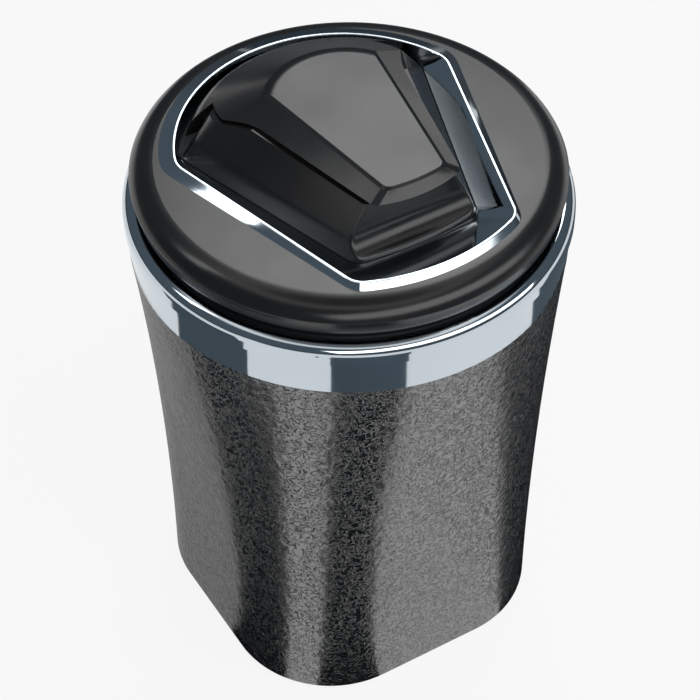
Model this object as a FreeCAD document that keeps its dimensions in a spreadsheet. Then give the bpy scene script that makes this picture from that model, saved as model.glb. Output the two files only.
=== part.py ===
"""Cup-holder ashtray: textured cup, chrome collar, lift-off lid and a hinged flip cover.

Millimetres, +Z up, origin at the centre of the base, the cover's nose towards -Y.
"""
import math
import os
from types import SimpleNamespace

import FreeCAD, Part
import Sketcher
from FreeCAD import Vector

doc = FreeCAD.newDocument("ashtray")


# Sizes

class Size:
    """A length or angle together with the sheet expression that it comes from."""

    def __init__(self, value, text):
        self.value = float(value)
        self.text = text

    def __add__(self, other):
        other = as_size(other)
        return Size(self.value + other.value, f"({self.text} + {other.text})")

    def __sub__(self, other):
        other = as_size(other)
        return Size(self.value - other.value, f"({self.text} - {other.text})")

    def __mul__(self, other):
        other = as_size(other)
        return Size(self.value * other.value, f"({self.text} * {other.text})")

    def __truediv__(self, other):
        other = as_size(other)
        return Size(self.value / other.value, f"({self.text} / {other.text})")

    def __neg__(self):
        return Size(-self.value, f"(-1 * {self.text})")


def as_size(item):
    return item if isinstance(item, Size) else Size(item, repr(float(item)))


def sine(angle):
    return Size(math.sin(math.radians(angle.value)), f"sin({angle.text} * 1 deg)")


def cosine(angle):
    return Size(math.cos(math.radians(angle.value)), f"cos({angle.text} * 1 deg)")


def tangent(angle):
    return Size(math.tan(math.radians(angle.value)), f"tan({angle.text} * 1 deg)")


SIZES = {
    # Cup
    "cup_height": 90.0,
    "base_half": 31.05,
    "base_corner": 20.4,
    "shoulder_radius": 39.24,
    "side_bow": 15.0,
    "cup_wall": 2.2,
    "cup_floor": 2.6,
    "base_round": 1.2,
    "least_offset": 0.01,
    "neck_step": 1.34,
    "neck_wall": 2.5,
    "neck_height": 4.6,
    # Non-slip pad under the cup
    "pad_inset": 3.5,
    "pad_thickness": 1.7,
    "pad_stand": 0.5,
    # Steel liner
    "liner_base_step": 6.05,
    "liner_base_round": 5.0,
    "liner_wall": 0.7,
    "liner_flange": 1.0,
    # Chrome collar
    "band_height": 7.0,
    "band_flare": 0.36,
    "lip_overhang": 0.4,
    "lip_height": 4.0,
    "lip_round": 2.1,
    "collar_step": 1.2,
    # Clearances, and how far a cut overshoots the solid
    "fit_gap": 0.15,
    "run_gap": 0.3,
    "cut_margin": 1.0,
    # Lid
    "lid_gap": 2.0,
    "lid_step": 2.1,
    "lid_corner": 1.3,
    "crease_flare": 0.6,
    "crease_rise": 2.7,
    "crease_round": 0.3,
    "rim_rise": 3.0,
    "rim_lean": 1.25,
    "rim_round": 4.7,
    "lid_plate": 1.8,
    "floor_rise": 0.2,
    "floor_plate": 1.6,
    "plug_gap": 0.5,
    "plug_wall": 2.0,
    "seal_height": 2.0,
    "seal_depth": 1.0,
    "seal_lift": 2.0,
    # Chrome bezel round the well
    "shield_share": 0.6873,
    "shield_taper": 17.4,
    "shield_front_share": 0.8813,
    "shield_front_radius": 38.0,
    "shield_centre": 2.4,
    "shield_rear_margin": 3.5,
    "shield_front_corner": 5.0,
    "shield_rear_corner": 7.0,
    "bezel_rise": 1.1,
    "bezel_front_slope": 0.9,
    "bezel_side_slope": 1.55,
    "bezel_rear_slope": 2.6,
    "bezel_crest": 0.4,
    "crest_taper": 15.9,
    "crest_round": 0.18,
    "bezel_seat": 1.25,
    "well_depth": 1.9,
    "well_rear_step": 3.6,
    "well_rear_corner": 4.0,
    # Spout block round the ash mouth
    "block_share": 0.7505,
    "block_front_share": 0.7066,
    "block_taper": 18.0,
    "block_front_radius": 80.0,
    "block_front_corner": 3.0,
    "hood_room": 12.6,
    "block_rear_radius": 400.0,
    "block_rear_corner": 2.4,
    "block_rise": 7.8,
    "block_side_lean": 5.55,
    "block_top_taper": 15.0,
    "block_front_lean": 2.4,
    "block_top_corner": 5.0,
    "rear_fall_start": 6.4,
    "rear_fall": 15.6,
    "rear_fall_round": 20.0,
    "mouth_rim": 4.0,
    "mouth_front_rim": 5.7,
    "mouth_rear_rim": 11.5,
    "mouth_taper": 10.0,
    "mouth_corner": 1.5,
    "scoop_depth": 1.5,
    "scoop_round": 4.2,
    "scoop_sill": 0.7,
    "scoop_edge_round": 1.0,
    # Flip cover
    "cover_gap": 1.5,
    "cover_rim_gap": 0.55,
    "cover_plate": 2.4,
    "nose_rise": 0.75,
    "cap_depth": 8.4,
    "cap_side_run": 11.6,
    "cap_front_run": 7.5,
    "cover_front_radius": 30.0,
    "cover_front_corner": 2.5,
    "panel_side_step": 4.7,
    "panel_taper": 9.0,
    "panel_front_step": 1.4,
    "panel_front_corner": 1.5,
    "panel_edge_drop": 0.3,
    "panel_edge_inset": 0.3,
    # Hood at the rear of the cover
    "hood_side_gap": 0.6,
    "hood_centre": 1.0,
    "hood_slope": 13.6,
    "hood_edge_round": 4.0,
    "hood_shoulder_step": 1.6,
    "hood_shoulder_drop": 8.8,
    "hood_foot_step": 1.1,
    "hood_foot_rise": -0.5,
    "hood_round": 4.0,
    "hood_wall": 1.2,
    "hood_inside_round": 2.0,
    "hood_hollow_turn": 90.0,
    "hood_gap": 0.9,
    # Hinge
    "hinge_reach": 5.4,
    "hinge_rise": 1.4,
    "knuckle_radius": 2.0,
    "knuckle_round": 1.9,
    "pin_radius": 1.1,
    "pin_press": 0.02,
    "pin_run": 0.06,
    "lug_inside": 3.6,
    "lug_thick": 2.4,
    "ear_thick": 2.4,
    "knuckle_gap": 0.4,
    # Torsion spring on the pin
    "spring_wire": 0.3,
    "spring_coil": 1.9,
    "spring_turns": 4.25,
    "spring_pitch": 0.9,
    "spring_reach": 1.2,
    # Heat plate and gasket under the cover
    "plate_thick": 0.8,
    "plate_gap": 0.8,
    "gasket_thick": 1.2,
    "gasket_width": 1.5,
    # Screws
    "screw_radius": 1.0,
    "screw_hole_gap": 0.1,
    "screw_head_radius": 1.9,
    "screw_head_height": 0.8,
    "plate_screw_bite": 1.4,
    "plate_screw_front": 5.5,
    "plate_screw_rear": 5.2,
    "lid_screw_bite": 3.0,
    "boss_radius": 2.8,
    "front_boss_angle": -40.0,
    "rear_boss_angle": 2.0,
    "block_screw_reach": 8.0,
}

sheet = doc.addObject("Spreadsheet::Sheet", "Sizes")
size = SimpleNamespace()
for row, (alias, number) in enumerate(SIZES.items(), start=1):
    sheet.set(f"A{row}", alias)
    sheet.set(f"B{row}", str(number))
    sheet.setAlias(f"B{row}", alias)
    setattr(size, alias, Size(number, f"Sizes.{alias}"))
doc.recompute()

# Sizes that follow from those above, from the cup inwards to the hinge
lip_radius = size.shoulder_radius + size.band_flare + size.lip_overhang
size.neck_radius = size.shoulder_radius - size.neck_step
size.neck_bore = size.neck_radius - size.neck_wall
size.collar_bore = size.neck_radius - size.collar_step
size.liner_base_radius = size.base_half - size.liner_base_step
size.skirt_radius = lip_radius - size.lid_step
size.shield_half = size.skirt_radius * size.shield_share
size.shield_front = size.skirt_radius * size.shield_front_share
size.shield_rear_radius = size.skirt_radius - size.shield_centre - size.shield_rear_margin
size.well_rear_radius = size.shield_rear_radius - size.well_rear_step
size.block_half = size.shield_half * size.block_share
size.block_front = size.shield_front * size.block_front_share
size.block_rear = size.shield_centre + size.well_rear_radius - size.hood_room
size.block_top_half = size.block_half - size.block_side_lean
size.block_top_front = size.block_front - size.block_front_lean
size.mouth_half = size.block_top_half - size.mouth_rim
size.mouth_front = size.block_top_front - size.mouth_front_rim
size.mouth_rear = size.block_rear - size.mouth_rear_rim
size.panel_half = size.block_top_half - size.panel_side_step
size.panel_front = size.block_front - size.panel_front_step
size.cap_half = size.panel_half + size.cap_side_run
size.cap_front = size.panel_front + size.cap_front_run
size.hood_radius = size.well_rear_radius - size.hood_side_gap
size.hood_foot = size.hood_radius + size.hood_foot_step
size.hood_shoulder = size.hood_foot - size.hood_shoulder_step
size.hood_edge = size.hood_shoulder - size.hood_slope
size.hinge_back = size.block_rear + size.hinge_reach

# Heights and places that several pieces share
cup_bottom = size.pad_stand
floor_top = cup_bottom + size.cup_floor
neck_top = size.cup_height + size.neck_height
flange_top = neck_top + size.liner_wall
band_top = size.cup_height + size.band_height
band_radius = size.shoulder_radius + size.band_flare
collar_top = band_top + size.lip_height
skirt_bottom = collar_top + size.lid_gap
crease_height = skirt_bottom + size.crease_rise
crease_radius = size.skirt_radius + size.crease_flare
lid_top = crease_height + size.rim_rise
lid_ceiling = lid_top - size.lid_plate
lid_floor = skirt_bottom + size.floor_rise
plug_top = lid_floor - size.floor_plate
plug_bottom = flange_top + size.run_gap
plug_radius = size.collar_bore - size.plug_gap
crest_height = lid_top + size.bezel_rise
well_floor = lid_top - size.well_depth
block_top = lid_top + size.block_rise
cover_edge = block_top + size.cover_gap
panel_height = cover_edge + size.cover_plate
cap_bottom = panel_height - size.cap_depth
hood_front = size.block_rear + size.hood_gap
hood_foot_height = lid_top + size.hood_foot_rise
hinge_height = lid_top + size.hinge_rise
lug_outside = size.lug_inside + size.lug_thick
ear_inside = lug_outside + size.knuckle_gap
ear_outside = ear_inside + size.ear_thick


# Sketch helpers

def bind(item, path, length):
    item.setExpression(path, as_size(length).text)


def new_body(name):
    body = doc.addObject("PartDesign::Body", name)
    body.Label = name
    return body


def new_sketch(body, name, plane, **offset):
    """A sketch on one of the body's own planes, moved by offset along the sketch's x, y or z."""
    sketch = body.newObject("Sketcher::SketchObject", name)
    support = next(item for item in body.Origin.OriginFeatures if item.Role == plane)
    sketch.AttachmentSupport = (support, [""])
    sketch.MapMode = "FlatFace"
    for axis, length in offset.items():
        bind(sketch, f"AttachmentOffset.Base.{axis}", length)
    return sketch


def constrain(sketch, kind, *where, to):
    """A dimension bound to a size."""
    to = as_size(to)
    start = math.radians(to.value) if kind == "Angle" else to.value
    index = sketch.addConstraint(Sketcher.Constraint(kind, *where, start))
    bind(sketch, f"Constraints[{index}]", to)


def tie(sketch, kind, *where):
    sketch.addConstraint(Sketcher.Constraint(kind, *where))


def pin_point(sketch, geometry, end, x, y):
    """Fixes a point at x, y from the sketch's origin."""
    x = as_size(x)
    y = as_size(y)
    if x.text == "0.0":
        tie(sketch, "PointOnObject", geometry, end, -2)
    else:
        constrain(sketch, "DistanceX", -1, 1, geometry, end, to=x)
    if y.text == "0.0":
        tie(sketch, "PointOnObject", geometry, end, -1)
    else:
        constrain(sketch, "DistanceY", -1, 1, geometry, end, to=y)


def draw_circle(sketch, x, y, radius):
    centre = Vector(as_size(x).value, as_size(y).value, 0)
    ring = sketch.addGeometry(Part.Circle(centre, Vector(0, 0, 1), as_size(radius).value), False)
    pin_point(sketch, ring, 3, x, y)
    constrain(sketch, "Radius", ring, to=radius)


def draw_arc(sketch, centre, radius, start, end):
    """Arc from start to end, anticlockwise."""
    first = math.atan2(start.y - centre.y, start.x - centre.x)
    last = math.atan2(end.y - centre.y, end.x - centre.x)
    if last <= first:
        last += 2 * math.pi
    circle = Part.Circle(centre, Vector(0, 0, 1), radius)
    return sketch.addGeometry(Part.ArcOfCircle(circle, first, last), False)


def draw_profile(sketch, corners):
    """Closed outline of straight runs through corners (x, y) or, rounded, (x, y, radius)."""
    spots = [Vector(as_size(c[0]).value, as_size(c[1]).value, 0) for c in corners]
    count = len(corners)
    entry = []
    leave = []
    for i, corner in enumerate(corners):
        back = (spots[i - 1] - spots[i]).normalize()
        ahead = (spots[(i + 1) % count] - spots[i]).normalize()
        reach = 0.0
        if len(corner) == 3:
            reach = as_size(corner[2]).value / math.tan(back.getAngle(ahead) / 2)
        entry.append(spots[i] + back * reach)
        leave.append(spots[i] + ahead * reach)
    runs = [
        sketch.addGeometry(Part.LineSegment(leave[i], entry[(i + 1) % count]), False)
        for i in range(count)
    ]
    for i, corner in enumerate(corners):
        before = runs[i - 1]
        after = runs[i]
        if len(corner) == 2:
            tie(sketch, "Coincident", before, 2, after, 1)
            pin_point(sketch, after, 1, *corner)
            continue
        radius = as_size(corner[2])
        back = (entry[i] - spots[i]).normalize()
        ahead = (leave[i] - spots[i]).normalize()
        middle = (back + ahead).normalize()
        centre = spots[i] + middle * (radius.value / math.sin(back.getAngle(ahead) / 2))
        left_turn = back.cross(ahead).z < 0
        if left_turn:
            arc = draw_arc(sketch, centre, radius.value, entry[i], leave[i])
        else:
            arc = draw_arc(sketch, centre, radius.value, leave[i], entry[i])
        tie(sketch, "Tangent", before, 2, arc, 1 if left_turn else 2)
        tie(sketch, "Tangent", arc, 2 if left_turn else 1, after, 1)
        constrain(sketch, "Radius", arc, to=radius)
        vertex = sketch.addGeometry(Part.Point(spots[i]), True)
        tie(sketch, "PointOnObject", vertex, 1, before)
        tie(sketch, "PointOnObject", vertex, 1, after)
        pin_point(sketch, vertex, 1, corner[0], corner[1])


def corner_centre(half, taper, middle, radius, corner, rear):
    """Centre of the round between a tapered side and an arc about (0, middle)."""
    along = Vector(math.sin(taper), math.cos(taper), 0)
    inward = Vector(-math.cos(taper), math.sin(taper), 0)
    foot = Vector(half, 0, 0) + inward * corner
    offset = foot - Vector(0, middle, 0)
    half_b = offset.dot(along)
    root = math.sqrt(half_b ** 2 - offset.dot(offset) + (radius - corner) ** 2)
    return foot + along * (-half_b + (root if rear else -root))


def draw_shield(sketch, half, taper, front, rear):
    """Mirrored outline: tapered straight sides, an arc across each end and rounded corners.

    half is the half width at y = 0 and taper the lean of the sides in degrees.
    front and rear are (centre along y, radius, corner radius).
    """
    lean = math.radians(taper.value)
    inward = Vector(-math.cos(lean), math.sin(lean), 0)
    ends = {}
    for name, (middle, radius, corner) in (("front", front), ("rear", rear)):
        round_centre = corner_centre(
            half.value, lean, middle.value, radius.value, corner.value, name == "rear"
        )
        hub = Vector(0, middle.value, 0)
        on_side = round_centre - inward * corner.value
        on_arc = hub + (round_centre - hub).normalize() * radius.value
        ends[name] = (hub, round_centre, on_side, on_arc)

    def mirror(spot):
        return Vector(-spot.x, spot.y, 0)

    hub, spot, side_low, arc_low = ends["front"]
    rear_hub, rear_spot, side_high, arc_high = ends["rear"]
    front_arc = draw_arc(sketch, hub, front[1].value, mirror(arc_low), arc_low)
    rear_arc = draw_arc(sketch, rear_hub, rear[1].value, arc_high, mirror(arc_high))
    right = sketch.addGeometry(Part.LineSegment(side_low, side_high), False)
    left = sketch.addGeometry(Part.LineSegment(mirror(side_low), mirror(side_high)), False)
    front_right = draw_arc(sketch, spot, front[2].value, arc_low, side_low)
    front_left = draw_arc(sketch, mirror(spot), front[2].value, mirror(side_low), mirror(arc_low))
    rear_right = draw_arc(sketch, rear_spot, rear[2].value, side_high, arc_high)
    rear_left = draw_arc(sketch, mirror(rear_spot), rear[2].value, mirror(arc_high), mirror(side_high))

    tie(sketch, "Tangent", front_arc, 2, front_right, 1)
    tie(sketch, "Tangent", front_right, 2, right, 1)
    tie(sketch, "Tangent", right, 2, rear_right, 1)
    tie(sketch, "Tangent", rear_right, 2, rear_arc, 1)
    tie(sketch, "Tangent", rear_arc, 2, rear_left, 1)
    tie(sketch, "Tangent", rear_left, 2, left, 2)
    tie(sketch, "Tangent", left, 1, front_left, 1)
    tie(sketch, "Tangent", front_left, 2, front_arc, 1)
    for arc, corner_right, corner_left, (middle, radius, corner) in (
        (front_arc, front_right, front_left, front),
        (rear_arc, rear_right, rear_left, rear),
    ):
        pin_point(sketch, arc, 3, 0, middle)
        constrain(sketch, "Radius", arc, to=radius)
        constrain(sketch, "Radius", corner_right, to=corner)
        tie(sketch, "Equal", corner_right, corner_left)
    for line, sign in ((right, 1), (left, -1)):
        waist = sketch.addGeometry(Part.Point(Vector(sign * half.value, 0, 0)), True)
        tie(sketch, "PointOnObject", waist, 1, line)
        pin_point(sketch, waist, 1, half * sign, 0)
        constrain(sketch, "Angle", line, to=as_size(90) - taper * sign)


def draw_rounded_square(sketch, corner_offset, corner_radius, bow):
    """Rounded square on centred corner arcs, its sides straight or bowed by an angle."""
    offset = corner_offset.value
    radius = corner_radius.value
    lean = math.radians(bow.value) if bow else 0.0
    turns = [math.radians(90 * i) for i in range(4)]
    hubs = [Vector(offset, -offset, 0), Vector(offset, offset, 0)]
    hubs += [-hubs[0], -hubs[1]]

    def on_arc(hub, angle):
        return hub + Vector(math.sin(angle), -math.cos(angle), 0) * radius

    starts = [on_arc(hub, turn + lean) for hub, turn in zip(hubs, turns)]
    stops = [on_arc(hub, turn + math.pi / 2 - lean) for hub, turn in zip(hubs, turns)]
    arcs = [draw_arc(sketch, hub, radius, a, b) for hub, a, b in zip(hubs, starts, stops)]
    side_radius = corner_radius + corner_offset / sine(bow) if bow else None
    sides = []
    for i, turn in enumerate(turns):
        if bow:
            outward = Vector(math.sin(turn), -math.cos(turn), 0)
            reach = (starts[i] - outward * (side_radius.value * math.cos(lean))).dot(outward)
            sides.append(draw_arc(sketch, outward * reach, side_radius.value, stops[i - 1], starts[i]))
        else:
            sides.append(sketch.addGeometry(Part.LineSegment(stops[i - 1], starts[i]), False))
    signs = ((1, -1), (1, 1), (-1, 1), (-1, -1))
    for i, (sign_x, sign_y) in enumerate(signs):
        tie(sketch, "Tangent", arcs[i - 1], 2, sides[i], 1)
        tie(sketch, "Tangent", sides[i], 2, arcs[i], 1)
        constrain(sketch, "Radius", arcs[i], to=corner_radius)
        pin_point(sketch, arcs[i], 3, corner_offset * sign_x, corner_offset * sign_y)
        if bow:
            constrain(sketch, "Radius", sides[i], to=side_radius)


# Feature helpers

LEVEL_TOLERANCE = 0.001


def pad(body, name, sketch, length, midplane=False, reverse=False):
    feature = body.newObject("PartDesign::Pad", name)
    feature.Profile = sketch
    bind(feature, "Length", length)
    feature.Midplane = midplane
    feature.Reversed = reverse
    doc.recompute()
    return feature


def cut(body, name, sketch, length=None, midplane=False, reverse=False):
    """A pocket of a given length, or right through; it must take material away."""
    before = body.Shape.Volume
    feature = body.newObject("PartDesign::Pocket", name)
    feature.Profile = sketch
    if length is None:
        feature.Type = "ThroughAll"
    else:
        bind(feature, "Length", length)
    feature.Midplane = midplane
    feature.Reversed = reverse
    doc.recompute()
    if body.Shape.Volume >= before:
        raise RuntimeError(f"{name} removes nothing")
    return feature


def revolve(body, name, sketch, kind="Revolution", angle=360, axis="V_Axis"):
    before = body.Shape.Volume if kind == "Groove" else 0
    feature = body.newObject(f"PartDesign::{kind}", name)
    feature.Profile = sketch
    feature.ReferenceAxis = (sketch, [axis])
    bind(feature, "Angle", angle)
    feature.Midplane = as_size(angle).value < 360
    doc.recompute()
    if kind == "Groove" and body.Shape.Volume >= before:
        raise RuntimeError(f"{name} removes nothing")
    return feature


def loft(body, name, sketches, kind="AdditiveLoft", ruled=True):
    feature = body.newObject(f"PartDesign::{kind}", name)
    feature.Profile = sketches[0]
    feature.Sections = sketches[1:]
    feature.Ruled = ruled
    doc.recompute()
    return feature


def round_edges(body, name, radius, wanted):
    """Rounds the edges of the body's last feature that wanted picks by their shape."""
    tip = body.Tip
    names = [f"Edge{i}" for i, edge in enumerate(tip.Shape.Edges, start=1) if wanted(edge)]
    feature = body.newObject("PartDesign::Fillet", name)
    feature.Base = (tip, names)
    bind(feature, "Radius", radius)
    doc.recompute()
    return feature


def lies_at(edge, height):
    """Whether the whole edge lies in the level plane at height."""
    box = edge.BoundBox
    return max(abs(box.ZMin - height.value), abs(box.ZMax - height.value)) < LEVEL_TOLERANCE


# Cup

CUP_SECTIONS = 3


def cup_section(body, name, share, inset, height):
    """Outline of the cup at a share of its height: square at the base, round at the shoulder."""
    blend = share ** 2
    offset = (size.base_half - size.base_corner) * (1 - blend)
    radius = size.base_corner + (size.shoulder_radius - size.base_corner) * blend - inset
    if share == 1:
        offset = size.least_offset
    sketch = new_sketch(body, name, "XY_Plane", z=height)
    draw_rounded_square(sketch, offset, radius, size.side_bow * blend if share else None)
    return sketch


def cup_sections(body, name, inset, bottom):
    span = size.cup_height - bottom
    sections = []
    for i in range(CUP_SECTIONS + 1):
        share = i / CUP_SECTIONS
        sections.append(cup_section(body, f"{name}_{i}", share, inset, bottom + span * share))
    return sections


def make_outer_cup():
    body = new_body("outer_cup")
    loft(body, "cup_wall", cup_sections(body, "outside", as_size(0), cup_bottom), ruled=False)
    loft(
        body, "cup_hollow", cup_sections(body, "inside", size.cup_wall, floor_top),
        "SubtractiveLoft", ruled=False,
    )
    neck = new_sketch(body, "neck_ring", "XY_Plane", z=size.cup_height)
    draw_circle(neck, 0, 0, size.neck_radius)
    draw_circle(neck, 0, 0, size.neck_bore)
    pad(body, "neck", neck, size.neck_height)
    recess = new_sketch(body, "pad_recess_outline", "XY_Plane", z=cup_bottom)
    draw_rounded_square(
        recess, size.base_half - size.base_corner,
        size.base_corner - size.pad_inset + size.fit_gap, None,
    )
    cut(body, "pad_recess", recess, size.pad_thickness - size.pad_stand, reverse=True)
    recess_reach = size.base_half - size.pad_inset + size.fit_gap

    def is_base_edge(edge):
        reach = max(max(abs(vertex.X), abs(vertex.Y)) for vertex in edge.Vertexes)
        return lies_at(edge, cup_bottom) and reach > recess_reach.value + LEVEL_TOLERANCE

    round_edges(body, "base_edge", size.base_round, is_base_edge)
    return body


def make_base_pad():
    body = new_body("base_pad")
    outline = new_sketch(body, "pad_outline", "XY_Plane")
    draw_rounded_square(
        outline, size.base_half - size.base_corner, size.base_corner - size.pad_inset, None
    )
    pad(body, "pad_sheet", outline, size.pad_thickness)
    return body


def make_inner_liner():
    body = new_body("inner_liner")
    outside = size.neck_bore - size.run_gap
    inside = outside - size.liner_wall
    rim = size.neck_bore + size.liner_flange
    bottom = floor_top + size.run_gap
    section = new_sketch(body, "liner_section", "XZ_Plane")
    draw_profile(section, [
        (0, bottom),
        (size.liner_base_radius, bottom, size.liner_base_round),
        (outside, neck_top),
        (rim, neck_top),
        (rim, flange_top),
        (inside, flange_top),
        (size.liner_base_radius - size.liner_wall, bottom + size.liner_wall,
         size.liner_base_round - size.liner_wall),
        (0, bottom + size.liner_wall),
    ])
    revolve(body, "liner_can", section)
    return body


def make_collar_ring():
    body = new_body("collar_ring")
    neck_hole = size.neck_radius + size.fit_gap
    shelf = neck_top + size.fit_gap
    section = new_sketch(body, "collar_section", "XZ_Plane")
    draw_profile(section, [
        (neck_hole, size.cup_height),
        (size.shoulder_radius, size.cup_height),
        (band_radius, band_top),
        (lip_radius, band_top + size.lip_overhang / 2),
        (lip_radius, collar_top, size.lip_round),
        (size.collar_bore, collar_top),
        (size.collar_bore, shelf),
        (neck_hole, shelf),
    ])
    revolve(body, "collar", section)
    return body


# Lid

def bezel_outline(body, name, height, front_inset, side_inset=None, rear_inset=None, taper=None):
    """The bezel's shield outline, drawn in by one inset all round or by three."""
    side_inset = side_inset or front_inset
    rear_inset = rear_inset or front_inset
    taper = taper or size.shield_taper
    sketch = new_sketch(body, name, "XY_Plane", z=height)
    half = size.shield_half - side_inset / cosine(taper)
    front = (
        size.shield_front_radius - size.shield_front,
        size.shield_front_radius - front_inset,
        size.shield_front_corner - front_inset,
    )
    rear = (
        size.shield_centre, size.shield_rear_radius - rear_inset,
        size.shield_rear_corner - side_inset,
    )
    draw_shield(sketch, half, taper, front, rear)
    return sketch


def crest_outline(body, name, inset):
    return bezel_outline(
        body, name, crest_height, size.bezel_front_slope + inset,
        size.bezel_side_slope + inset, size.bezel_rear_slope + inset, size.crest_taper,
    )


def well_outline(body, name, height, gap):
    """Foot of the bezel's inner wall, round the spout block and behind the hood."""
    sketch = new_sketch(body, name, "XY_Plane", z=height)
    half = size.block_half + gap / cosine(size.block_taper)
    front = (
        size.block_front_radius - size.block_front,
        size.block_front_radius + gap,
        size.block_front_corner + gap,
    )
    rear = (size.shield_centre, size.well_rear_radius, size.well_rear_corner)
    draw_shield(sketch, half, size.block_taper, front, rear)
    return sketch


def lid_boss_spots():
    """Bosses either side of the bezel, clear of its side walls and inside the plug."""
    wide = plug_radius - size.plug_wall - size.screw_head_radius - size.run_gap
    spots = []
    for turn in (size.front_boss_angle, size.rear_boss_angle):
        across = wide * cosine(turn)
        along = wide * sine(turn)
        spots += [(across, along), (-across, along)]
    return spots


def make_lid_shell():
    body = new_body("lid_shell")
    section = new_sketch(body, "lid_section", "XZ_Plane")
    inside = plug_radius + size.run_gap
    draw_profile(section, [
        (inside, skirt_bottom),
        (size.skirt_radius, skirt_bottom),
        (crease_radius, crease_height, size.crease_round),
        (crease_radius - size.rim_lean, lid_top, size.rim_round),
        (0, lid_top),
        (0, lid_ceiling),
        (inside, lid_ceiling, size.lid_corner),
    ])
    revolve(body, "lid_cap", section)
    bosses = new_sketch(body, "boss_outlines", "XY_Plane", z=lid_floor)
    for x, y in lid_boss_spots():
        draw_circle(bosses, x, y, size.boss_radius)
    pad(body, "bosses", bosses, lid_ceiling - lid_floor + size.lid_plate / 2)
    pilots = new_sketch(body, "pilot_outlines", "XY_Plane", z=lid_floor)
    for x, y in lid_boss_spots():
        draw_circle(pilots, x, y, size.screw_radius + size.screw_hole_gap)
    cut(body, "pilots", pilots, size.lid_screw_bite + size.run_gap, reverse=True)
    hole = bezel_outline(body, "bezel_hole_outline", lid_top, size.bezel_seat - size.fit_gap)
    cut(body, "bezel_hole", hole, lid_top - lid_ceiling + size.run_gap)
    return body


def make_lid_base():
    body = new_body("lid_base")
    section = new_sketch(body, "base_section", "XZ_Plane")
    groove = plug_radius - size.seal_depth
    groove_bottom = plug_bottom + size.seal_lift
    groove_top = groove_bottom + size.seal_height
    bore = plug_radius - size.plug_wall
    draw_profile(section, [
        (0, plug_top),
        (bore, plug_top),
        (bore, plug_bottom),
        (plug_radius, plug_bottom),
        (plug_radius, groove_bottom),
        (groove, groove_bottom),
        (groove, groove_top),
        (plug_radius, groove_top),
        (plug_radius, lid_floor),
        (0, lid_floor),
    ])
    revolve(body, "plug", section)
    mouth = mouth_outline(body, "mouth_hole_outline", lid_floor, size.run_gap)
    cut(body, "mouth_hole", mouth, size.floor_plate)
    holes = new_sketch(body, "screw_hole_outlines", "XY_Plane", z=lid_floor)
    for x, y in lid_boss_spots() + block_screw_spots():
        draw_circle(holes, x, y, size.screw_radius + size.screw_hole_gap)
    cut(body, "screw_holes", holes, size.floor_plate)
    return body


def make_lid_seal():
    body = new_body("lid_seal")
    section = new_sketch(body, "seal_section", "XZ_Plane")
    bottom = plug_bottom + size.seal_lift
    top = bottom + size.seal_height
    lip = size.collar_bore - size.run_gap
    inner = plug_radius - size.seal_depth
    draw_profile(section, [
        (inner, bottom),
        (plug_radius, bottom),
        (lip, bottom + size.seal_height / 2),
        (plug_radius, top),
        (inner, top),
    ])
    revolve(body, "seal_ring", section)
    return body


def make_bezel():
    body = new_body("bezel")
    foot = bezel_outline(body, "seat_outline", lid_floor, size.bezel_seat)
    pad(body, "seat", foot, lid_top - lid_floor)
    outer = bezel_outline(body, "outer_edge", lid_top, as_size(0))
    crest = crest_outline(body, "outer_crest", as_size(0))
    loft(body, "outer_slope", [outer, crest])
    inner_crest = crest_outline(body, "inner_crest", size.bezel_crest)
    inner_foot = well_outline(body, "inner_foot", well_floor, size.fit_gap)
    loft(body, "inner_wall", [inner_crest, inner_foot], "SubtractiveLoft")
    through = well_outline(body, "well_through_outline", well_floor, size.fit_gap)
    cut(body, "well_through", through, well_floor - lid_floor)
    round_edges(body, "crest_edges", size.crest_round, lambda edge: lies_at(edge, crest_height))
    return body


# Spout block

def block_end(reach, radius, corner, rear=False):
    middle = size.block_rear - radius if rear else radius - reach
    return (middle, radius, corner)


def block_outline(body, name, height, half, taper, front_reach, rear_corner):
    sketch = new_sketch(body, name, "XY_Plane", z=height)
    front = block_end(front_reach, size.block_front_radius, size.block_front_corner)
    rear = block_end(None, size.block_rear_radius, rear_corner, rear=True)
    draw_shield(sketch, half, taper, front, rear)
    return sketch


def mouth_outline(body, name, height, gap):
    """The ash mouth, straight down from the block's rim."""
    sketch = new_sketch(body, name, "XY_Plane", z=height)
    front = block_end(size.mouth_front + gap, size.block_front_radius, size.mouth_corner)
    rear_radius = size.block_rear_radius
    rear = (size.mouth_rear + gap - rear_radius, rear_radius, size.mouth_corner)
    draw_shield(sketch, size.mouth_half + gap, size.mouth_taper, front, rear)
    return sketch


def block_screw_spots():
    """Pilot holes in the block's foot, midway between the mouth and the outer wall."""
    spots = []
    for along in (-size.block_screw_reach, size.block_screw_reach):
        mouth = size.mouth_half + tangent(size.mouth_taper) * along
        wall = size.block_half + tangent(size.block_taper) * along
        across = (mouth + wall) / 2
        spots += [(across, along), (-across, along)]
    return spots


def rear_fall_height(along):
    """Height of the block's top where it falls towards the rear."""
    return block_top - tangent(size.rear_fall) * (along - size.rear_fall_start)


def hinge_arm_profile(sketch, far_y, far_z):
    """Plate from far_y, far_z to a rounded end about the hinge axis, in the sketch's y and z."""
    end = size.hinge_back + size.knuckle_radius
    draw_profile(sketch, [
        (far_y, hinge_height - size.knuckle_radius),
        (end, hinge_height - size.knuckle_radius, size.knuckle_round),
        (end, far_z, size.knuckle_round),
        (far_y, far_z),
    ])


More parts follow.
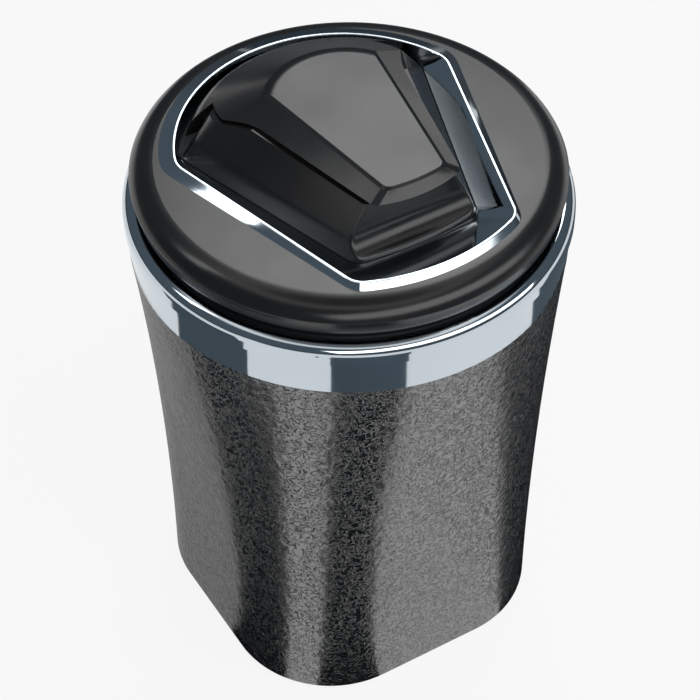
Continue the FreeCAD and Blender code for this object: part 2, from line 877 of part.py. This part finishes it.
def make_spout_block():
    body = new_body("spout_block")
    base = block_outline(
        body, "foot_outline", lid_floor, size.block_half, size.block_taper, size.block_front,
        size.block_rear_corner,
    )
    pad(body, "foot", base, well_floor - lid_floor)
    lower = block_outline(
        body, "wall_foot", well_floor, size.block_half, size.block_taper, size.block_front,
        size.block_rear_corner,
    )
    upper = block_outline(
        body, "wall_top", block_top, size.block_top_half, size.block_top_taper,
        size.block_top_front, size.block_top_corner,
    )
    loft(body, "walls", [lower, upper])
    scoop = new_sketch(body, "scoop_section", "YZ_Plane")
    scoop_front = -size.block_front - size.cut_margin
    scoop_back = -size.block_top_front + size.scoop_depth
    sill = well_floor + size.scoop_sill
    draw_profile(scoop, [
        (scoop_front, sill),
        (scoop_back, sill, size.scoop_round),
        (scoop_back, block_top + size.cut_margin),
        (scoop_front, block_top + size.cut_margin),
    ])
    cut(body, "scoop", scoop, size.block_half * 2, midplane=True)

    def is_scoop_edge(edge):
        box = edge.BoundBox
        in_scoop = box.YMax < scoop_back.value + LEVEL_TOLERANCE
        above_sill = box.ZMin > sill.value + LEVEL_TOLERANCE
        meets_top = box.ZMax > block_top.value - LEVEL_TOLERANCE
        return in_scoop and above_sill and meets_top and box.ZLength > size.scoop_depth.value

    round_edges(body, "scoop_edges", size.scoop_edge_round, is_scoop_edge)
    fall = new_sketch(body, "rear_fall_section", "YZ_Plane")
    fall_end = size.block_rear + size.cut_margin
    draw_profile(fall, [
        (size.rear_fall_start, block_top),
        (fall_end, rear_fall_height(fall_end)),
        (fall_end, block_top),
    ])
    cut(body, "rear_fall", fall, size.block_half * 4, midplane=True)
    mouth = mouth_outline(body, "mouth_outline", block_top, as_size(0))
    cut(body, "mouth", mouth)
    arm_start = size.block_rear - size.mouth_rim / 2
    for side, start in (("left", -lug_outside), ("right", size.lug_inside)):
        arm = new_sketch(body, f"{side}_lug_outline", "YZ_Plane", z=start)
        hinge_arm_profile(arm, arm_start, hinge_height + size.knuckle_radius)
        pad(body, f"{side}_lug", arm, size.lug_thick)
    bore = new_sketch(body, "lug_bore_outline", "YZ_Plane")
    draw_circle(bore, size.hinge_back, hinge_height, size.pin_radius + size.pin_press)
    cut(body, "lug_bores", bore, (lug_outside + size.cut_margin) * 2, midplane=True)
    pilots = new_sketch(body, "pilot_outlines", "XY_Plane", z=lid_floor)
    for x, y in block_screw_spots():
        draw_circle(pilots, x, y, size.screw_radius + size.screw_hole_gap)
    cut(body, "pilots", pilots, size.lid_screw_bite + size.run_gap, reverse=True)
    return body


# Flip cover

def hood_sketch(body, name):
    """Sketch in the mirror plane whose upright axis is the hood's centre."""
    return new_sketch(body, name, "YZ_Plane", x=size.hood_centre)


def cover_outline(body, name, height, inset):
    """The cap's outline at a height up to its flat panel, less an inset."""
    share = (height - cap_bottom) / size.cap_depth
    sketch = new_sketch(body, name, "XY_Plane", z=height)
    half = size.cap_half + (size.panel_half - size.cap_half) * share - inset
    front_reach = size.cap_front + (size.panel_front - size.cap_front) * share - inset
    corner = size.cover_front_corner + (size.panel_front_corner - size.cover_front_corner) * share
    front = block_end(front_reach, size.cover_front_radius, corner)
    rear = (size.shield_centre, size.hood_radius, size.cover_front_corner)
    draw_shield(sketch, half, size.panel_taper, front, rear)
    return sketch


def plate_screw_spots():
    """One screw at the front and two at the rear hold the heat plate up under the cover."""
    rear = size.mouth_rear - size.plate_screw_rear
    mouth = size.mouth_half + tangent(size.mouth_taper) * rear
    across = mouth - size.plate_gap - size.screw_head_radius - size.gasket_width
    return [(as_size(0), size.plate_screw_front - size.mouth_front), (across, rear), (-across, rear)]


def make_flap_cover():
    body = new_body("flap_cover")
    lowest = cover_outline(body, "cap_foot_outline", cap_bottom, as_size(0))
    brow_height = panel_height - size.panel_edge_drop
    brow = cover_outline(body, "brow_outline", brow_height, as_size(0))
    panel = cover_outline(body, "panel_outline", panel_height, size.panel_edge_inset)
    loft(body, "cap", [lowest, brow, panel])

    # The rim rises to the nose and falls behind the mouth with the block's top
    underside = new_sketch(body, "underside_section", "YZ_Plane")
    nose = -size.cap_front - size.cut_margin
    below_cap = cap_bottom - size.cut_margin
    rim_turn = size.rear_fall_start + size.cover_rim_gap
    draw_profile(underside, [
        (rim_turn, block_top + size.cover_rim_gap, size.rear_fall_round),
        (nose, cover_edge + size.nose_rise),
        (nose, below_cap),
        (hood_front, below_cap),
        (hood_front, rear_fall_height(hood_front) + size.cover_rim_gap),
    ])
    cut(body, "underside", underside, size.skirt_radius * 2, midplane=True)
    recess = mouth_outline(body, "recess_outline", cover_edge, size.gasket_width / 2 + size.fit_gap)
    cut(body, "plate_recess", recess, size.cover_gap)

    # The hood: a round-backed block behind the spout, hollowed and then domed
    back = new_sketch(body, "hood_outline", "XY_Plane", z=hood_foot_height)
    reach = hood_front.value - size.shield_centre.value
    wide = math.sqrt(size.hood_radius.value ** 2 - reach ** 2)
    left_end = Vector(-wide, hood_front.value, 0)
    right_end = Vector(wide, hood_front.value, 0)
    hub = Vector(0, size.shield_centre.value, 0)
    arc = draw_arc(back, hub, size.hood_radius.value, right_end, left_end)
    chord = back.addGeometry(Part.LineSegment(left_end, right_end), False)
    tie(back, "Coincident", arc, 2, chord, 1)
    tie(back, "Coincident", chord, 2, arc, 1)
    tie(back, "Horizontal", chord)
    pin_point(back, arc, 3, 0, size.shield_centre)
    constrain(back, "Radius", arc, to=size.hood_radius)
    constrain(back, "DistanceY", -1, 1, chord, 1, to=hood_front)
    pad(body, "hood_block", back, cover_edge - hood_foot_height)

    fall = size.hood_shoulder_drop / (size.hood_shoulder - size.hood_edge)
    inner_foot = size.hood_foot - size.hood_wall
    inner_start = hood_front - size.hood_centre - size.cut_margin
    inner_top = panel_height - size.hood_wall - fall * (inner_start - size.hood_edge)
    below_foot = hood_foot_height - size.cut_margin
    hollow = hood_sketch(body, "hood_hollow_section")
    draw_profile(hollow, [
        (inner_start, below_foot),
        (inner_foot, below_foot),
        (inner_foot, inner_top - fall * (inner_foot - inner_start), size.hood_inside_round),
        (inner_start, inner_top),
    ])
    revolve(body, "hood_hollow", hollow, "Groove", size.hood_hollow_turn)
    ear_front = size.hinge_back - size.knuckle_radius
    ear_rear = size.hinge_back + size.knuckle_radius
    ear_top = cover_edge + size.cover_plate / 2
    for side, start in (("left", -ear_outside), ("right", ear_inside)):
        ear = new_sketch(body, f"{side}_ear_outline", "YZ_Plane", z=start)
        draw_profile(ear, [
            (ear_front, hinge_height - size.knuckle_radius, size.knuckle_round),
            (ear_rear, hinge_height - size.knuckle_radius, size.knuckle_round),
            (ear_rear, ear_top),
            (ear_front, ear_top),
        ])
        pad(body, f"{side}_ear", ear, size.ear_thick)
    outside = size.skirt_radius
    dome_start = size.hood_edge - size.cut_margin
    dome = hood_sketch(body, "hood_dome_section")
    draw_profile(dome, [
        (dome_start, panel_height),
        (size.hood_edge, panel_height, size.hood_edge_round),
        (size.hood_shoulder, panel_height - size.hood_shoulder_drop, size.hood_round),
        (size.hood_foot, below_foot),
        (outside, below_foot),
        (outside, panel_height + size.cut_margin),
        (dome_start, panel_height + size.cut_margin),
    ])
    revolve(body, "hood_dome", dome, "Groove", 180)
    bore = new_sketch(body, "ear_bore_outline", "YZ_Plane")
    draw_circle(bore, size.hinge_back, hinge_height, size.pin_radius + size.pin_run)
    cut(body, "ear_bores", bore, ear_outside * 2 + size.knuckle_gap, midplane=True)
    pilots = new_sketch(body, "plate_pilot_outlines", "XY_Plane", z=cover_edge)
    for x, y in plate_screw_spots():
        draw_circle(pilots, x, y, size.screw_radius + size.screw_hole_gap)
    cut(body, "plate_pilots", pilots, size.plate_screw_bite + size.screw_hole_gap, reverse=True)
    return body


def make_flap_liner():
    body = new_body("flap_liner")
    outline = mouth_outline(
        body, "plate_outline", cover_edge, -size.plate_gap - size.gasket_width
    )
    pad(body, "plate", outline, size.plate_thick, reverse=True)
    holes = new_sketch(body, "plate_hole_outlines", "XY_Plane", z=cover_edge)
    for x, y in plate_screw_spots():
        draw_circle(holes, x, y, size.screw_radius + size.screw_hole_gap)
    cut(body, "plate_holes", holes, size.plate_thick)
    return body


def make_flap_seal():
    body = new_body("flap_seal")
    outer = mouth_outline(body, "gasket_outline", cover_edge, size.gasket_width / 2)
    pad(body, "gasket", outer, size.gasket_thick, reverse=True)
    inner = mouth_outline(body, "gasket_hole_outline", cover_edge, -size.gasket_width)
    cut(body, "gasket_hole", inner, size.gasket_thick)
    return body


# Hinge hardware and screws

def make_hinge_pin():
    body = new_body("hinge_pin")
    outline = new_sketch(body, "pin_outline", "YZ_Plane")
    draw_circle(outline, size.hinge_back, hinge_height, size.pin_radius)
    pad(body, "pin", outline, ear_outside * 2, midplane=True)
    return body


def make_hinge_spring():
    body = new_body("hinge_spring")
    length = size.spring_pitch * size.spring_turns
    wire = new_sketch(body, "wire_section", "XZ_Plane", y=hinge_height, z=-size.hinge_back)
    draw_circle(wire, length / -2, -size.spring_coil, size.spring_wire)
    coil = body.newObject("PartDesign::AdditiveHelix", "coil")
    coil.Profile = wire
    coil.ReferenceAxis = (wire, ["H_Axis"])
    coil.Mode = "pitch-turns-angle"
    bind(coil, "Pitch", size.spring_pitch)
    bind(coil, "Turns", size.spring_turns)
    doc.recompute()
    lower = new_sketch(body, "lower_leg_section", "XZ_Plane", y=hinge_height, z=-size.hinge_back)
    draw_circle(lower, length / -2, -size.spring_coil, size.spring_wire)
    pad(body, "lower_leg", lower, size.hinge_back - size.block_rear - size.run_gap)
    upper = new_sketch(body, "upper_leg_section", "XY_Plane", z=hinge_height)
    draw_circle(upper, length / 2, size.hinge_back + size.spring_coil, size.spring_wire)
    pad(body, "upper_leg", upper, size.spring_reach)
    return body


def make_screws(name, spots, seat, bite, grip):
    """Pan-head screws, heads down, in one group: head under seat, shank up through grip."""
    screws = []
    for i, (x, y) in enumerate(spots):
        head = doc.addObject("Part::Cylinder", f"{name}_head_{i}")
        bind(head, "Radius", size.screw_head_radius)
        bind(head, "Height", size.screw_head_height)
        bind(head, "Placement.Base.z", seat - size.screw_head_height)
        shank = doc.addObject("Part::Cylinder", f"{name}_shank_{i}")
        bind(shank, "Radius", size.screw_radius)
        bind(shank, "Height", bite + grip)
        bind(shank, "Placement.Base.z", seat)
        for piece in (head, shank):
            bind(piece, "Placement.Base.x", x)
            bind(piece, "Placement.Base.y", y)
        screw = doc.addObject("Part::Fuse", f"{name}_{i}")
        screw.Base = head
        screw.Tool = shank
        screws.append(screw)
    group = doc.addObject("Part::Compound", name)
    group.Label = name
    group.Links = screws
    return group


sub_parts = [
    make_outer_cup(),
    make_base_pad(),
    make_inner_liner(),
    make_collar_ring(),
    make_lid_shell(),
    make_lid_base(),
    make_lid_seal(),
    make_bezel(),
    make_spout_block(),
    make_hinge_pin(),
    make_hinge_spring(),
    make_flap_cover(),
    make_flap_liner(),
    make_flap_seal(),
    make_screws(
        "lid_screws", lid_boss_spots() + block_screw_spots(), plug_top,
        size.lid_screw_bite, size.floor_plate,
    ),
    make_screws(
        "flap_screws", plate_screw_spots(), cover_edge - size.plate_thick,
        size.plate_screw_bite, size.plate_thick,
    ),
]
doc.recompute()

for item in doc.Objects:
    if "Invalid" in item.State or "Error" in item.State:
        raise RuntimeError(f"{item.Name} failed: {item.State}")
for item in sub_parts:
    if item.Shape.isNull() or not item.Shape.isValid():
        raise RuntimeError(f"{item.Label} has no valid shape")

os.makedirs("parts", exist_ok=True)
for item in sub_parts:
    item.Shape.exportStep(f"parts/{item.Label}.step")
    print(item.Label, len(item.Shape.Solids), round(item.Shape.Volume, 1))
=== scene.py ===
import math

import bpy
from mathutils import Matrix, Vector

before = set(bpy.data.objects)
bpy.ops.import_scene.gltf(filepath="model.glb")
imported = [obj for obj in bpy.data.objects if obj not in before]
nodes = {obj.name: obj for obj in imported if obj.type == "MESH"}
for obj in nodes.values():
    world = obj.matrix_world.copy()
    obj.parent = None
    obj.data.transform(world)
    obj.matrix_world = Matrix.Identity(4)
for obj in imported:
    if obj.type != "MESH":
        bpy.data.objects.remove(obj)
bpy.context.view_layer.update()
scene = bpy.context.scene
scene.view_settings.view_transform = "Standard"

MM = 0.001
MICRON = 0.000001

# Camera
AZIMUTH = math.radians(-31.04)
ELEVATION = math.radians(46.46)
DISTANCE = 496.4 * MM
TARGET = Vector((0, 0, 59.16 * MM))
LENS = 136.2
SHIFT_X = 0.0015

# Lamps
LAMP_AIM = Vector((0, 0, 110 * MM))
STUDIO_REACH = 600 * MM
CLOSE_REACH = 114.6 * MM
POWER_PER_RADIANCE = 4

# Cards on the floor: how far their edges lie from the object's axis
CARD_LIFT = Vector((0, 0, 0.3 * MM))
CARD_STEPS = 16
NEAR = 28 * MM
STEP = 102 * MM
FAR = 260 * MM
HOOD_NEAR = 230 * MM
BACK_NEAR = 700 * MM
BACK_FAR = 5500 * MM

# World: colours by the height of the direction, from the level to straight up
LEVEL_DARK = (0.05, 0.055, 0.06)
SLATE = (0.085, 0.108, 0.128)
RING_LIGHT = (0.9, 0.9, 0.9)
OVERHEAD = (0.15, 0.16, 0.17)
WORLD_STOPS = (
    (0.0, LEVEL_DARK),
    (0.25, SLATE),
    (0.80, SLATE),
    (0.88, RING_LIGHT),
    (0.93, RING_LIGHT),
    (0.97, OVERHEAD),
)

# Materials: the range that most of a noise's values lie in
NOISE_LOW = 0.3
NOISE_HIGH = 0.7

# Floor
FLOOR_REACH = 6.0
FLOOR_COLOUR = (0.82, 0.82, 0.82)
FLOOR_GLOW_SHARE = 0.88


def direction(azimuth, elevation):
    """Unit vector from the object towards a place; azimuth 0 is towards -Y, 90 towards +X."""
    level = math.cos(elevation)
    return Vector((math.sin(azimuth) * level, -math.cos(azimuth) * level, math.sin(elevation)))


def from_camera_side(heading, lift=0):
    """Direction by degrees round from the camera's side and degrees above the level."""
    return direction(AZIMUTH + math.radians(heading), math.radians(lift))


def make_camera():
    camera = bpy.data.objects.new("camera", bpy.data.cameras.new("camera"))
    scene.collection.objects.link(camera)
    scene.camera = camera
    camera.data.lens = LENS
    camera.data.shift_x = SHIFT_X
    back = direction(AZIMUTH, ELEVATION)
    camera.location = TARGET + back * DISTANCE
    camera.rotation_euler = (-back).to_track_quat("-Z", "Y").to_euler()


def softbox(name, heading, lift, reach, width, height, radiance):
    """A rectangular lamp that faces the lid and that the camera itself doesn't see."""
    way = from_camera_side(heading, lift)
    lamp = bpy.data.lights.new(name, "AREA")
    lamp.shape = "RECTANGLE"
    lamp.size = width
    lamp.size_y = height
    lamp.energy = POWER_PER_RADIANCE * width * height * radiance
    holder = bpy.data.objects.new(name, lamp)
    holder.location = LAMP_AIM + way * reach
    holder.rotation_euler = (-way).to_track_quat("-Z", "Y").to_euler()
    holder.visible_camera = False
    scene.collection.objects.link(holder)


def make_lamps():
    """One box behind for the flat tops, one in front for the slopes, one close by for the left chamfer."""
    softbox("back_box", heading=172, lift=49, reach=STUDIO_REACH, width=0.29, height=0.23, radiance=3.4)
    softbox("front_box", heading=42, lift=33.5, reach=STUDIO_REACH, width=1.2, height=0.24, radiance=2.2)
    softbox("chamfer_box", heading=-80, lift=40, reach=CLOSE_REACH, width=0.02, height=0.035, radiance=2.6)


def matt_card(name, colour, glow=0.0):
    material = bpy.data.materials.new(name)
    material.use_nodes = True
    shader = material.node_tree.nodes["Principled BSDF"]
    shader.inputs["Base Color"].default_value = (*colour, 1)
    shader.inputs["Roughness"].default_value = 1.0
    shader.inputs["Specular IOR Level"].default_value = 0.0
    shader.inputs["Emission Color"].default_value = (1, 1, 1, 1)
    shader.inputs["Emission Strength"].default_value = glow
    return material


def flag(name, card, *edges):
    """A card on the floor between two arcs, each a reach and its start and stop heading.

    Only reflections show the card.
    """
    points = []
    for reach, start, stop in edges:
        for i in range(CARD_STEPS + 1):
            heading = start + (stop - start) * i / CARD_STEPS
            points.append(from_camera_side(heading) * reach + CARD_LIFT)
    row = CARD_STEPS + 1
    faces = [(i, i + 1, row + i + 1, row + i) for i in range(CARD_STEPS)]
    mesh = bpy.data.meshes.new(name)
    mesh.from_pydata(points, [], faces)
    holder = bpy.data.objects.new(name, mesh)
    holder.visible_camera = False
    holder.visible_diffuse = False
    holder.visible_shadow = False
    scene.collection.objects.link(holder)
    mesh.materials.append(card)


def make_cards():
    """Near cards show in the cup's sides, the outer ones in the collar, those behind in hood and bezel."""
    black = matt_card("black_card", (0.02, 0.024, 0.028))
    slate = matt_card("slate_card", (0.12, 0.15, 0.175))
    grey = matt_card("grey_card", (0.02, 0.02, 0.02), glow=0.46)
    smoke = matt_card("smoke_card", (0.26, 0.26, 0.26))
    flag("flag_left", black, (NEAR, -34, -14), (STEP, -88, -36))
    flag("flag_far_left", grey, (NEAR, -150, -34), (STEP, -150, -88))
    flag("flag_front", black, (NEAR, -11.5, 6), (STEP, -7, 29))
    flag("flag_right", black, (NEAR, 52, 170), (STEP, 82, 170))
    flag("flag_outer_left", slate, (STEP, -88, -47), (FAR, -88, -47))
    flag("flag_outer_front", slate, (STEP, -8, 26), (FAR, -8, 26))
    flag("flag_outer_right", slate, (STEP, 98, 180), (FAR, 98, 180))
    flag("flag_hood", smoke, (HOOD_NEAR, 158, 198), (BACK_NEAR, 158, 203))
    flag("flag_back", slate, (BACK_NEAR, 158, 203), (BACK_FAR, 158, 203))


def make_world():
    """A dim slate studio, darkest at the level, with a ring of light high up."""
    world = bpy.data.worlds.new("studio")
    scene.world = world
    world.use_nodes = True
    tree = world.node_tree
    way = tree.nodes.new("ShaderNodeTexCoord")
    parts = tree.nodes.new("ShaderNodeSeparateXYZ")
    ramp = tree.nodes.new("ShaderNodeValToRGB")
    tree.links.new(way.outputs["Generated"], parts.inputs["Vector"])
    tree.links.new(parts.outputs["Z"], ramp.inputs["Fac"])
    tree.links.new(ramp.outputs["Color"], tree.nodes["Background"].inputs["Color"])
    bands = ramp.color_ramp.elements
    while len(bands) < len(WORLD_STOPS):
        bands.new(0.5)
    for band, (place, colour) in zip(bands, WORLD_STOPS):
        band.position = place
        band.color = (*colour, 1)


def math_node(tree, operation, first, second):
    """A Math node whose two inputs are numbers or sockets."""
    node = tree.nodes.new("ShaderNodeMath")
    node.operation = operation
    for socket, value in zip(node.inputs, (first, second)):
        if isinstance(value, (int, float)):
            socket.default_value = value
        else:
            tree.links.new(value, socket)
    return node.outputs["Value"]


class Paint:
    """A node material with a Principled shader and short ways to add texture nodes."""

    def __init__(self, name):
        self.material = bpy.data.materials.new(name)
        self.material.use_nodes = True
        self.tree = self.material.node_tree
        self.shader = self.tree.nodes["Principled BSDF"]
        self.space = self.tree.nodes.new("ShaderNodeTexCoord").outputs["Object"]

    def link(self, start, end):
        self.tree.links.new(start, end)

    def set(self, socket, value):
        self.shader.inputs[socket].default_value = value

    def into(self, source, socket):
        self.link(source, self.shader.inputs[socket])

    def noise(self, scale, detail=2.0, roughness=0.5, distortion=0.0, space=None):
        node = self.tree.nodes.new("ShaderNodeTexNoise")
        node.inputs["Scale"].default_value = scale
        node.inputs["Detail"].default_value = detail
        node.inputs["Roughness"].default_value = roughness
        node.inputs["Distortion"].default_value = distortion
        self.link(space or self.space, node.inputs["Vector"])
        return node.outputs["Fac"]

    def stretched(self, x, y, z):
        node = self.tree.nodes.new("ShaderNodeMapping")
        node.inputs["Scale"].default_value = (x, y, z)
        self.link(self.space, node.inputs["Vector"])
        return node.outputs["Vector"]

    def ramp(self, source, low, high, to_low=0.0, to_high=1.0):
        """A smooth step from to_low at low to to_high at high."""
        node = self.tree.nodes.new("ShaderNodeMapRange")
        node.interpolation_type = "SMOOTHSTEP"
        node.inputs["From Min"].default_value = low
        node.inputs["From Max"].default_value = high
        node.inputs["To Min"].default_value = to_low
        node.inputs["To Max"].default_value = to_high
        self.link(source, node.inputs["Value"])
        return node.outputs["Result"]

    def colour(self, share, dark, light):
        """Base colour that wanders between two shades."""
        node = self.tree.nodes.new("ShaderNodeMix")
        node.data_type = "RGBA"
        node.inputs["A"].default_value = (*dark, 1)
        node.inputs["B"].default_value = (*light, 1)
        self.link(share, node.inputs["Factor"])
        self.into(node.outputs["Result"], "Base Color")

    def roughness(self, noise, low, high):
        self.into(self.ramp(noise, NOISE_LOW, NOISE_HIGH, low, high), "Roughness")

    def bump(self, height, distance, strength=1.0, under=None):
        node = self.tree.nodes.new("ShaderNodeBump")
        node.inputs["Distance"].default_value = distance
        node.inputs["Strength"].default_value = strength
        self.link(height, node.inputs["Height"])
        if under:
            self.link(under, node.inputs["Normal"])
        return node.outputs["Normal"]


def grained_plastic():
    """Black moulded plastic: low islands parted by fine winding grooves, as in a leather grain.

    The grooves follow the contour lines of a noise, one every contour_step. Their specular level is
    halved, a painted shade that stands in for the occlusion inside the grooves.
    """
    paint = Paint("grained_plastic")
    contour_step = 0.09
    groove_width = 0.04
    islands = paint.noise(scale=700, detail=1.5, roughness=0.5, distortion=0.7)
    contours = math_node(paint.tree, "PINGPONG", islands, contour_step)
    grooves = paint.ramp(contours, 0.0, groove_width)
    fine = paint.noise(scale=3800)
    paint.colour(paint.noise(scale=40, detail=3.0), (0.006, 0.006, 0.0064), (0.010, 0.010, 0.0104))
    paint.roughness(fine, 0.18, 0.26)
    # Painted shade: the specular level falls to half in the grooves, standing in for the shade inside them
    paint.into(paint.ramp(grooves, 0.0, 1.0, to_low=0.5, to_high=1.0), "Specular IOR Level")
    swell = paint.bump(paint.noise(scale=560, detail=1.0), 130 * MICRON)
    matt = paint.bump(fine, 10 * MICRON, strength=0.5, under=swell)
    paint.into(paint.bump(grooves, 100 * MICRON, under=matt), "Normal")
    paint.set("IOR", 2.0)
    return paint.material


def satin_plastic():
    """Smooth satin black plastic with a very fine spark-eroded matt."""
    paint = Paint("satin_plastic")
    fine = paint.noise(scale=5200)
    broad = paint.noise(scale=60)
    paint.colour(broad, (0.010, 0.010, 0.0105), (0.014, 0.014, 0.0145))
    paint.roughness(broad, 0.2, 0.26)
    paint.into(paint.bump(fine, 6 * MICRON, strength=0.35), "Normal")
    return paint.material


def dark_chrome():
    """Slate-tinted polished plating with faint polishing haze."""
    paint = Paint("dark_chrome")
    haze = paint.noise(scale=90, detail=3.0)
    paint.colour(haze, (0.54, 0.60, 0.65), (0.61, 0.67, 0.72))
    paint.roughness(haze, 0.05, 0.085)
    paint.set("Metallic", 1.0)
    return paint.material


def brushed_steel():
    """Plain steel with fine upright brush lines."""
    paint = Paint("brushed_steel")
    upright = paint.stretched(1, 1, 0.02)
    lines = paint.noise(scale=2600, roughness=0.6, space=upright)
    paint.colour(lines, (0.42, 0.42, 0.41), (0.56, 0.56, 0.55))
    paint.roughness(lines, 0.22, 0.36)
    paint.into(paint.bump(lines, 8 * MICRON, strength=0.5), "Normal")
    paint.set("Metallic", 1.0)
    return paint.material


def soft_rubber():
    """Dull black rubber of the pad and the seals."""
    paint = Paint("soft_rubber")
    fine = paint.noise(scale=2400, detail=3.0)
    paint.colour(paint.noise(scale=120), (0.014, 0.014, 0.014), (0.024, 0.024, 0.024))
    paint.roughness(fine, 0.6, 0.75)
    paint.into(paint.bump(fine, 30 * MICRON, strength=0.6), "Normal")
    return paint.material


def inner_plastic():
    """Black plastic of the lid's underside, duller than the outside."""
    paint = Paint("inner_plastic")
    fine = paint.noise(scale=1900, detail=3.0)
    paint.colour(paint.noise(scale=70), (0.016, 0.016, 0.017), (0.026, 0.026, 0.027))
    paint.roughness(fine, 0.42, 0.55)
    paint.into(paint.bump(fine, 20 * MICRON, strength=0.4), "Normal")
    return paint.material


def dress(material, *names):
    for name in names:
        slots = nodes[name].data.materials
        slots.clear()
        slots.append(material)


def dress_object():
    dress(grained_plastic(), "outer_cup")
    dress(satin_plastic(), "lid_shell", "spout_block", "flap_cover")
    dress(dark_chrome(), "bezel", "collar_ring")
    dress(
        brushed_steel(),
        "inner_liner", "flap_liner", "hinge_pin", "hinge_spring", "lid_screws", "flap_screws",
    )
    dress(soft_rubber(), "base_pad", "lid_seal", "flap_seal")
    dress(inner_plastic(), "lid_base")


def floor_material():
    """White to the camera and in reflections, with a share of plain diffuse that keeps the shadow."""
    material = bpy.data.materials.new("floor")
    material.use_nodes = True
    tree = material.node_tree
    tree.nodes.clear()
    diffuse = tree.nodes.new("ShaderNodeBsdfDiffuse")
    diffuse.inputs["Color"].default_value = (*FLOOR_COLOUR, 1)
    glow = tree.nodes.new("ShaderNodeEmission")
    rays = tree.nodes.new("ShaderNodeLightPath").outputs
    seen = math_node(tree, "MAXIMUM", rays["Is Camera Ray"], rays["Is Glossy Ray"])
    seen = math_node(tree, "MAXIMUM", seen, rays["Is Transmission Ray"])
    share = math_node(tree, "MULTIPLY", seen, FLOOR_GLOW_SHARE)
    mix = tree.nodes.new("ShaderNodeMixShader")
    output = tree.nodes.new("ShaderNodeOutputMaterial")
    tree.links.new(share, mix.inputs["Fac"])
    tree.links.new(diffuse.outputs["BSDF"], mix.inputs[1])
    tree.links.new(glow.outputs["Emission"], mix.inputs[2])
    tree.links.new(mix.outputs["Shader"], output.inputs["Surface"])
    return material


def make_floor():
    corners = [(x * FLOOR_REACH, y * FLOOR_REACH, 0) for x, y in ((-1, -1), (1, -1), (1, 1), (-1, 1))]
    mesh = bpy.data.meshes.new("floor")
    mesh.from_pydata(corners, [], [(0, 1, 2, 3)])
    floor = bpy.data.objects.new("floor", mesh)
    scene.collection.objects.link(floor)
    mesh.materials.append(floor_material())


make_camera()
make_lamps()
make_cards()
make_world()
dress_object()
make_floor()
